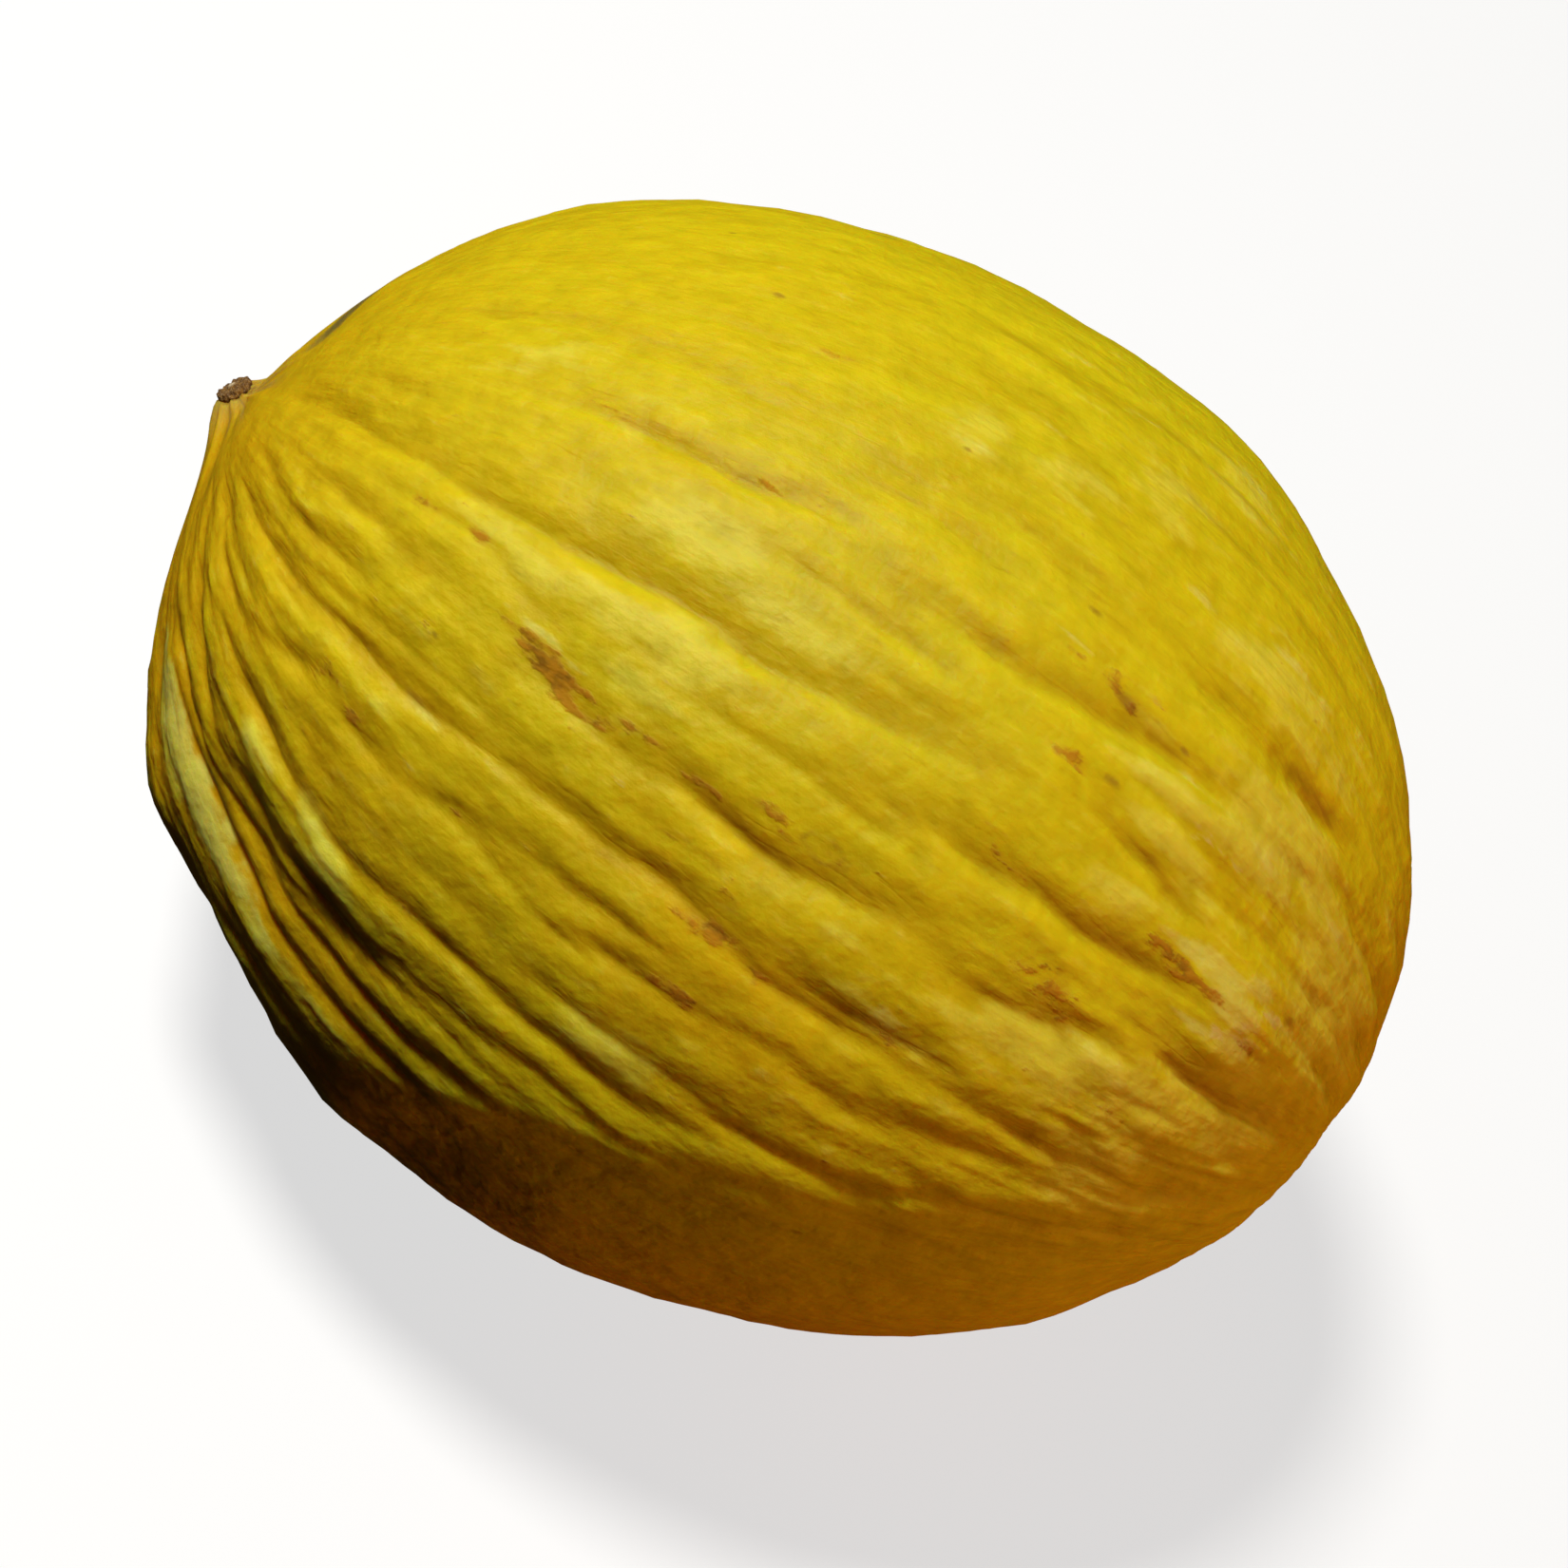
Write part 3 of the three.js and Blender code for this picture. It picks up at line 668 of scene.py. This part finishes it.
def makeStreakGroup():
    # lengthwise streaks: noise drawn out along the grain, `Around` fine across it and `Along` fine down it,
    # with thin creases where it crosses a half
    group, start, end = makeGroup("lengthwise streaks", {"Grain": None, "Around": 40, "Along": 4,
                                                         "Roughness": 0.55}, ["Mask", "Crease"])
    given = start.outputs
    scale = {0: given["Around"], 1: given["Around"], 2: given["Along"]}
    scale = addNode(group, "ShaderNodeCombineXYZ", scale).outputs[0]
    drawn = vectorNode("MULTIPLY", given["Grain"], scale).outputs[0]
    noise = addNode(group, "ShaderNodeTexNoise", {"Vector": drawn, "Scale": 1.0, "Detail": 4.0,
                                                  "Roughness": given["Roughness"]}).outputs["Fac"]
    offHalf = mathNode("ABSOLUTE", minus(noise, 0.5))
    feed(end, {"Mask": noise, "Crease": minus(1.0, stepNode(offHalf, 0.0, 0.06))})
    return group


def makeCorkGroup():
    # dry corky skin: crisp ragged patches that grow with Cover, with a cracked height of their own
    group, start, end = makeGroup("dry cork", {"Vector": None, "Scale": 900, "Cover": 0.5},
                                  ["Mask", "Height"])
    place = {"Vector": start.outputs["Vector"], "Scale": start.outputs["Scale"]}
    noise = addNode(group, "ShaderNodeTexNoise", {**place, "Detail": 5.0, "Roughness": 0.62}).outputs["Fac"]
    cells = addNode(group, "ShaderNodeTexVoronoi", place, feature="DISTANCE_TO_EDGE").outputs["Distance"]
    mask = stepNode(plus(start.outputs["Cover"], times(minus(noise, 0.5), 1.3)), 0.34, 0.74)
    feed(end, {"Mask": mask, "Height": times(mask, plus(noise, times(cells, 0.5)))})
    return group


def makeSpotGroup():
    # a spot round Centre, in the grain's own coordinates stretched by Reach into mm: 1 where the ragged
    # distance is within Thickness of Radius
    group, start, end = makeGroup("dried spot", {"Grain": None, "Centre": None, "Reach": None, "Radius": 1.0,
                                                 "Thickness": 0.5, "Ragged": 0.5}, ["Mask"])
    given = start.outputs
    away = vectorNode("SUBTRACT", given["Grain"], given["Centre"]).outputs[0]
    away = vectorNode("MULTIPLY", away, given["Reach"]).outputs[0]
    away = vectorNode("LENGTH", away).outputs["Value"]
    distance = plus(away, times(minus(given["Ragged"], 0.5), 0.7))
    offRing = mathNode("ABSOLUTE", minus(distance, given["Radius"]))
    share = mathNode("DIVIDE", offRing, given["Thickness"])
    feed(end, {"Mask": minus(1.0, stepNode(share, 0.1, 1.0))})
    return group


def newMaterial(name):
    material = bpy.data.materials.new(name)
    material.use_nodes = True
    tree = material.node_tree
    return material, tree, tree.nodes["Principled BSDF"]


def bumpNormal(height, distance):
    inputs = {"Height": height, "Distance": distance, "Strength": 1.0}
    return addNode(height.id_data, "ShaderNodeBump", inputs).outputs["Normal"]


streakGroup = makeStreakGroup()
corkGroup = makeCorkGroup()
spotGroup = makeSpotGroup()

rindLook = {
    "lemon": (0.69, 0.55, 0.004),
    "golden": (0.60, 0.43, 0.002),
    "paleGreen": (0.74, 0.635, 0.05),
    # the two furrow colours darken the valleys, partly as the rind's deeper colour and partly as painted
    # shade
    "furrow": (0.45, 0.24, 0.001),
    "deepFurrowShade": (0.24, 0.09, 0.002),
    "warmShadeOrange": (0.71, 0.295, 0.001),
    "cork": (0.50, 0.20, 0.006),
    "darkCork": (0.21, 0.07, 0.003),
    "stain": (0.52, 0.27, 0.006),
    "pink": (0.72, 0.56, 0.16),
    "cream": (0.74, 0.65, 0.11),
    "fleckAndGlint": (0.80, 0.68, 0.06),
    "groundSpot": (0.72, 0.60, 0.22),
    "neckGrey": (0.50, 0.36, 0.07),
    "neckLine": (0.40, 0.27, 0.07),
    "spot": (0.30, 0.14, 0.009),
    "smudgeAndShade": (0.12, 0.095, 0.03),
    "roughness": 0.46,
    "specular": 0.15,
    "underSkin": 0.6,        # how much light spreads under the skin, and how far its red, green and blue go
    "underSkinReach": (0.006, 0.0022, 0.0003),
    "bumpDistance": 0.00042,
}


def makeRindMaterial():
    look = rindLook
    material, tree, shader = newMaterial("waxy melon rind")
    grain = readValue(tree, "grain", vector=True)
    object3d = addNode(tree, "ShaderNodeTexCoord").outputs["Object"]
    given = {name: readValue(tree, name) for name in melonValues}
    calm, hollow, neck, scuff = [given[name] for name in ("calm", "hollow", "neck", "scuff")]

    def noise(scale, detail, roughness):
        inputs = {"Vector": object3d, "Scale": scale, "Detail": detail, "Roughness": roughness}
        return addNode(tree, "ShaderNodeTexNoise", inputs).outputs["Fac"]

    def streaks(around, along, roughness, output="Mask"):
        return useGroup(streakGroup, output, Grain=grain, Around=around, Along=along,
                        Roughness=roughness)

    def calmer(streak):
        # fades a streak pattern to its mean where the grain runs together
        return plus(0.5, times(minus(streak, 0.5), given["clearOfEnds"]))

    crease = streaks(22.0, 16.0, 0.5, "Crease")
    longLine = times(streaks(40.0, 8.0, 0.4, "Crease"), given["clearOfEnds"])
    patterns = {
        "wide": streaks(9.0, 5.0, 0.55),
        "medium": calmer(streaks(34.0, 30.0, 0.5)),
        "fine": calmer(streaks(66.0, 70.0, 0.5)),
        "mottle": noise(95.0, 6.0, 0.6),
        "pebble": noise(260.0, 2.0, 0.5),
        "grit": noise(700.0, 3.0, 0.5),
    }
    wide, medium, fine, mottle, pebble, grit = patterns.values()

    def cover(base, **gains):
        # the base, plus each named pattern less its middle value, times its gain
        return plus(base, *[times(minus(patterns[name], 0.5), gain) for name, gain in gains.items()])

    def over(colour, mask, share, paint):
        return mixColour(times(mask, share), colour, look[paint])

    def paintOver(colour, coats):
        # a coat is its cover, where that starts and is full, its share and its paint
        for covered, start, full, share, paint in coats:
            colour = over(colour, stepNode(covered, start, full), share, paint)
        return colour

    # the rind from lemon crests to golden valleys, partly its own colour and partly painted shade in the
    # valleys, and more orange towards the underside as painted shade
    ripeAndShade = cover(times(hollow, 1.1), wide=0.8, mottle=1.2, medium=0.8)
    goldenShare = times(minus(1.0, times(calm, 0.55)), stepNode(ripeAndShade, -0.3, 0.32))
    colour = mixColour(goldenShare, look["lemon"], look["golden"])
    warmShadeShare = minus(0.9, times(stepNode(hollow, 0.0, -0.6), 0.35))
    colour = over(colour, given["warmAndShade"], warmShadeShare, "warmShadeOrange")

    # pale mottling, bleached ridges with some painted highlights, furrows darkened partly as painted shade,
    # and flecks and dashes along the grain, the pale flecks partly painted glints
    mottled = minus(times(given["pale"], 0.75), times(hollow, 0.25))
    fleckShare = minus(0.32, times(calm, 0.22))
    colour = paintOver(colour, [
        (cover(mottled, mottle=1.1, medium=1.0, pebble=0.5), 0.24, 0.64, 0.7, "paleGreen"),
        (cover(given["bleachedAndHighlit"], mottle=1.1, medium=1.3, pebble=0.9), 0.34, 0.8, 0.72, "cream"),
        # the next two coats darken the valleys: the rind's deeper colour there, with painted shade over it
        (ripeAndShade, 0.28, 1.0, minus(0.8, times(calm, 0.4)), "furrow"),
        (hollow, 0.6, 1.4, 0.7, "deepFurrowShade"),
        # pale flecks on the crests and along the grain: partly pale skin, partly painted glints
        (cover(times(hollow, -1.0), mottle=1.4, medium=1.2), 0.38, 0.95, 0.6, "fleckAndGlint"),
        (minus(fine, times(hollow, 0.12)), 0.56, 0.8, fleckShare, "fleckAndGlint"),
        (minus(fine, times(hollow, 0.15)), 0.42, 0.22, fleckShare, "furrow"),
    ])
    colour = over(colour, longLine, times(times(stepNode(mottle, 0.4, 0.65), calm), 0.5), "golden")
    # thin creases in the hollows get the furrow colour as painted shade
    creased = times(crease, stepNode(cover(hollow, pebble=1.4), -0.05, 0.45))
    colour = over(colour, creased, 0.28, "furrow")
    tint = plus(times(fine, 0.14), times(pebble, 0.36), times(mottle, 0.2), 0.65)
    shade = addNode(tree, "ShaderNodeCombineXYZ", {0: tint, 1: tint, 2: tint}).outputs[0]
    colour = mixColour(1.0, colour, shade, "MULTIPLY")

    # the neck, the dark band beside it that is painted shade, the ground spot, the rubbed places and the
    # stain round the scars
    colour = paintOver(colour, [
        (times(neck, plus(mottle, 0.35)), 0.12, 0.95, 0.5, "neckGrey"),
        (wide, 0.5, 0.62, times(stepNode(neck, 0.01, 0.2), 0.5), "neckLine"),
        (cover(given["smudgeAndShade"], mottle=1.0), 0.25, 0.95, 0.85, "smudgeAndShade"),
        (cover(given["ground"], mottle=0.7), 0.3, 0.85, 0.85, "groundSpot"),
        (cover(given["pink"], pebble=0.9, fine=2.2), 0.5, 1.0, 0.75, "pink"),
        (cover(scuff, fine=1.6, pebble=0.9), 0.22, 0.95, 0.6, "stain"),
    ])

    # corky scars and small dried spots
    corky = mathNode("MAXIMUM", scuff, given["neckRim"])
    corky = mathNode("MAXIMUM", corky, times(given["blossomScar"], 0.9))
    corkCover = cover(minus(times(corky, 0.85), 0.1), fine=1.6, pebble=0.8)
    corkMask, corkHeight = [useGroup(corkGroup, output, Vector=object3d, Scale=420.0, Cover=corkCover)
                            for output in ("Mask", "Height")]
    corkTone = stepNode(cover(0.0, fine=1.8, grit=0.8, pebble=1.6), -0.28, 0.3)
    corkColour = mixColour(corkTone, look["darkCork"], look["cork"])
    colour = mixColour(times(corkMask, 0.76), colour, corkColour)
    for station, azimuth, radius, thickness in rindSpots:
        angle = math.radians(azimuth)
        centre = (math.cos(angle), math.sin(angle), station / 180)
        girth = melonShape["halfWidth"] * math.sin(math.radians(station))
        spot = useGroup(spotGroup, "Mask", Grain=grain, Centre=centre, Reach=(girth, girth, 150.0),
                        Radius=radius, Thickness=thickness, Ragged=grit)
        broken = stepNode(pebble, 0.36, 0.6) if radius > 0 else 1.0
        colour = over(colour, times(spot, broken), 0.62, "spot")

    # how much each pattern raises the skin, in bump distances
    heights = ((mottle, 1.5), (pebble, 1.15), (medium, 0.65), (fine, 0.16), (grit, 0.22), (creased, -0.12),
               (corkHeight, 0.4))
    feed(shader, {
        "Base Color": colour,
        "Roughness": plus(look["roughness"], times(fine, 0.16), times(corkMask, 0.3)),
        "Normal": bumpNormal(plus(*[times(part, gain) for part, gain in heights]), look["bumpDistance"]),
        "Specular IOR Level": look["specular"],
        "Subsurface Weight": look["underSkin"],
        "Subsurface Radius": look["underSkinReach"],
        "Subsurface Scale": 1.0,
    })
    return material


melonPoints, melonValues, melonGrain = melonSurface()
rindMesh = wrapMesh("melon_rind", melonPoints * mm)
for valueName, valueGrid in melonValues.items():
    storeValues(rindMesh, valueName, valueGrid)
storeValues(rindMesh, "grain", melonGrain)
rindPiece = addPiece("melon_rind", rindMesh, makeRindMaterial(), "melon")
print("rind: %d faces" % len(rindMesh.polygons))


stubShape = {
    "shankRadius": 2.4,
    "collarRadius": 2.9,
    "proud": 1.6,
    "sunk": 1.2,
    "raggedOut": 0.16,       # how far the collar is torn, as a share of its radius,
    "raggedUp": 0.45,        # and along the stalk
    "raggedNoise": (31, 26, 8),       # seed, cells round the stub, cells along its profile
    "profileSteps": 40,
    "turnSteps": 96,
}


def stubSurface():
    # a dry stalk remnant: profile (radius, height) turned about the neck's line, its collar made ragged
    # by noise; also how far each point belongs to the pale core
    s = stubShape
    collar, shank, proud, sunk = s["collarRadius"], s["shankRadius"], s["proud"], s["sunk"]
    knots = np.array([(0, -sunk), (0.8, -sunk), (shank, -sunk), (shank, -0.3),
                      (0.97 * collar, -0.05), (collar, 0.3 * proud), (0.93 * collar, 0.68 * proud),
                      (0.72 * collar, 0.8 * proud), (0.52 * collar, 0.62 * proud),
                      (0.34 * collar, 0.66 * proud), (0.2 * collar, 0.95 * proud), (0, proud)])
    t = np.linspace(0, 1, s["profileSteps"] + 1)
    knotPlace = np.linspace(0, 1, len(knots))
    radius = np.interp(t, knotPlace, knots[:, 0])[:, None]
    height = np.interp(t, knotPlace, knots[:, 1])[:, None]
    turn = (np.arange(s["turnSteps"]) * 360 / s["turnSteps"])[None, :]
    seed, around, along = s["raggedNoise"]
    ragged = ringNoise(makeLattice(seed), t[:, None] * 180, turn, around, along)
    outside = smoothStep(height, -0.1, 0.4)
    radius = radius * (1 + s["raggedOut"] * ragged * outside)
    height = height + s["raggedUp"] * ragged * outside * smoothStep(radius, 0.4, 1.6)
    a = np.radians(turn)
    core = 1 - smoothStep(np.broadcast_to(radius, ragged.shape), 0.4, 0.75)
    return radius * np.cos(a), radius * np.sin(a), np.broadcast_to(height, ragged.shape), core * outside


stubLook = {
    "cork": (0.36, 0.18, 0.03),
    "darkCork": (0.12, 0.05, 0.012),
    "pith": (0.74, 0.58, 0.34),
    "roughness": 0.75,
    "specular": 0.2,
    "bumpDistance": 0.0002,
}


def makeStubMaterial():
    look = stubLook
    material, tree, shader = newMaterial("dry stalk cork")
    object3d = addNode(tree, "ShaderNodeTexCoord").outputs["Object"]
    mask, height = [useGroup(corkGroup, output, Vector=object3d, Scale=1400.0, Cover=0.5)
                    for output in ("Mask", "Height")]
    grain = readValue(tree, "grain", vector=True)
    fibre = useGroup(streakGroup, "Mask", Grain=grain, Around=12.0, Along=3.0)
    colour = mixColour(mask, look["darkCork"], look["cork"])
    colour = mixColour(times(stepNode(fibre, 0.5, 0.7), 0.5), colour, look["pith"])
    colour = mixColour(readValue(tree, "core"), colour, look["pith"])
    feed(shader, {
        "Base Color": colour,
        "Roughness": plus(look["roughness"], times(fibre, 0.2)),
        "Normal": bumpNormal(plus(height, fibre), look["bumpDistance"]),
        "Specular IOR Level": look["specular"],
    })
    return material


def placeOnNeck(x, y, z):
    # carries a shape made about +Z to the neck's slanting end, +Z standing out from it
    s = melonShape
    neckBase, neckAxis = rindEnd(0.0)
    tip = neckBase + neckAxis * s["neckHeight"]
    tip[2] += s["halfWidth"] - s["flatSpotDepth"]
    outward = Vector(neckAxis - s["neckSlant"] * neckHighWay()).normalized()
    turn = Vector((0, 0, 1)).rotation_difference(outward).to_matrix()
    return np.stack([x, y, z], axis=-1) @ np.array(turn).T + tip


stubX, stubY, stubZ, stubCore = stubSurface()
stubMesh = wrapMesh("stem_stub_dry", placeOnNeck(stubX, stubY, stubZ) * mm)
storeValues(stubMesh, "core", stubCore)
storeValues(stubMesh, "grain", np.stack([stubX / 2, stubY / 2, stubZ / 2], axis=-1))
stubPiece = addPiece("stem_stub_dry", stubMesh, makeStubMaterial(), "stem_stub")
print("stub: %d faces" % len(stubMesh.polygons))


# The studio, in metres: a lamp stands `distance` away from the fruit, in the direction `from`.
stageLook = {
    "floorSize": 8.0,
    "floorColour": (0.36, 0.36, 0.355),
    "floorGlow": 0.68,       # lifts the floor's shadow, and lights nothing else
    "skyColour": (1.0, 0.8, 0.8),
    "skyStrength": 0.007,
    "backdropColour": (0.92, 0.92, 0.91),
    "lampCentre": (0, 0, 0.08),
    "lamps": {
        "key light": {"from": (-0.385, -0.045, 0.92), "distance": 1.7, "size": 0.34, "power": 28.4,
                      "colour": (1.0, 0.98, 0.94)},
        "fill light": {"from": (0.945, -0.33, 0.02), "distance": 1.4, "size": 0.45, "power": 10.8,
                       "colour": (1.0, 0.458, 0.07), "fruitOnly": True},
        "rim light": {"from": (-0.95, 0.10, 0.28), "distance": 1.4, "size": 0.5, "power": 0.5,
                      "colour": (1.0, 0.97, 0.9)},
        "back light": {"from": (0.15, 0.97, 0.12), "distance": 1.4, "size": 0.6, "power": 1.6,
                       "colour": (1.0, 0.92, 0.8), "sheen": False},
    },
    # the camera looks down on the fruit and is rolled, so that the stem end is high on the left
    "cameraTurn": (-6, 48, 32.48),      # azimuth, elevation and roll in degrees
    "cameraDistance": 0.575,
    "lens": 85,
    "shift": (-0.0013, -0.0049),
}


def makeFloor():
    half = stageLook["floorSize"] / 2
    mesh = bpy.data.meshes.new("floor")
    corners = [(-half, -half, 0), (half, -half, 0), (half, half, 0), (-half, half, 0)]
    mesh.from_pydata(corners, [], [(0, 1, 2, 3)])
    material, _, shader = newMaterial("pale floor")
    feed(shader, {"Base Color": (*stageLook["floorColour"], 1), "Roughness": 0.8, "Specular IOR Level": 0.1,
                  "Emission Color": (1, 1, 1, 1), "Emission Strength": stageLook["floorGlow"]})
    mesh.materials.append(material)
    floor = addObject("floor", mesh)
    floor.visible_diffuse = False
    floor.visible_glossy = False


def makeLamp(name, look):
    light = bpy.data.lights.new(name, "AREA")
    light.shape, light.size, light.energy, light.color = "DISK", look["size"], look["power"], look["colour"]
    lamp = addObject(name, light)
    way = Vector(look["from"]).normalized()
    lamp.location = Vector(stageLook["lampCentre"]) + way * look["distance"]
    lamp.rotation_euler = way.to_track_quat("Z", "Y").to_euler()
    lamp.visible_glossy = look.get("sheen", True)
    if look.get("fruitOnly"):
        reached = bpy.data.collections.new("reached by the " + name)
        for piece in (rindPiece, stubPiece):
            reached.objects.link(piece)
        lamp.light_linking.receiver_collection = reached


def makeCamera():
    azimuth, elevation, roll = [math.radians(turn) for turn in stageLook["cameraTurn"]]
    back = Vector((math.sin(azimuth) * math.cos(elevation), -math.cos(azimuth) * math.cos(elevation),
                   math.sin(elevation)))
    level = Vector((math.cos(azimuth), math.sin(azimuth), 0))
    rise = back.cross(level)
    right = level * math.cos(roll) + rise * math.sin(roll)
    up = rise * math.cos(roll) - level * math.sin(roll)
    data = bpy.data.cameras.new("camera")
    data.lens = stageLook["lens"]
    data.shift_x, data.shift_y = stageLook["shift"]
    camera = addObject("camera", data)
    centre = Vector((0, 0, (melonShape["halfWidth"] - melonShape["flatSpotDepth"]) * mm))
    place = Matrix.Translation(centre + back * stageLook["cameraDistance"])
    camera.matrix_world = place @ Matrix((right, up, back)).transposed().to_4x4()
    bpy.context.scene.camera = camera


def makeSky():
    # a faint sky lights the fruit, and a pale backdrop stands behind the floor
    world = bpy.data.worlds.new("studio")
    bpy.context.scene.world = world
    world.use_nodes = True
    tree = world.node_tree
    sky = tree.nodes["Background"]
    feed(sky, {"Color": (*stageLook["skyColour"], 1), "Strength": stageLook["skyStrength"]})
    backdrop = addNode(tree, "ShaderNodeBackground", {"Color": (*stageLook["backdropColour"], 1)})
    seen = addNode(tree, "ShaderNodeLightPath").outputs["Is Camera Ray"]
    either = addNode(tree, "ShaderNodeMixShader", {0: seen, 1: sky.outputs[0], 2: backdrop.outputs[0]})
    feed(tree.nodes["World Output"], {"Surface": either.outputs[0]})


makeFloor()
for lampName, lampLook in stageLook["lamps"].items():
    makeLamp(lampName, lampLook)
makeSky()
makeCamera()
bpy.context.scene.view_settings.view_transform = "Standard"
print("stage ready")
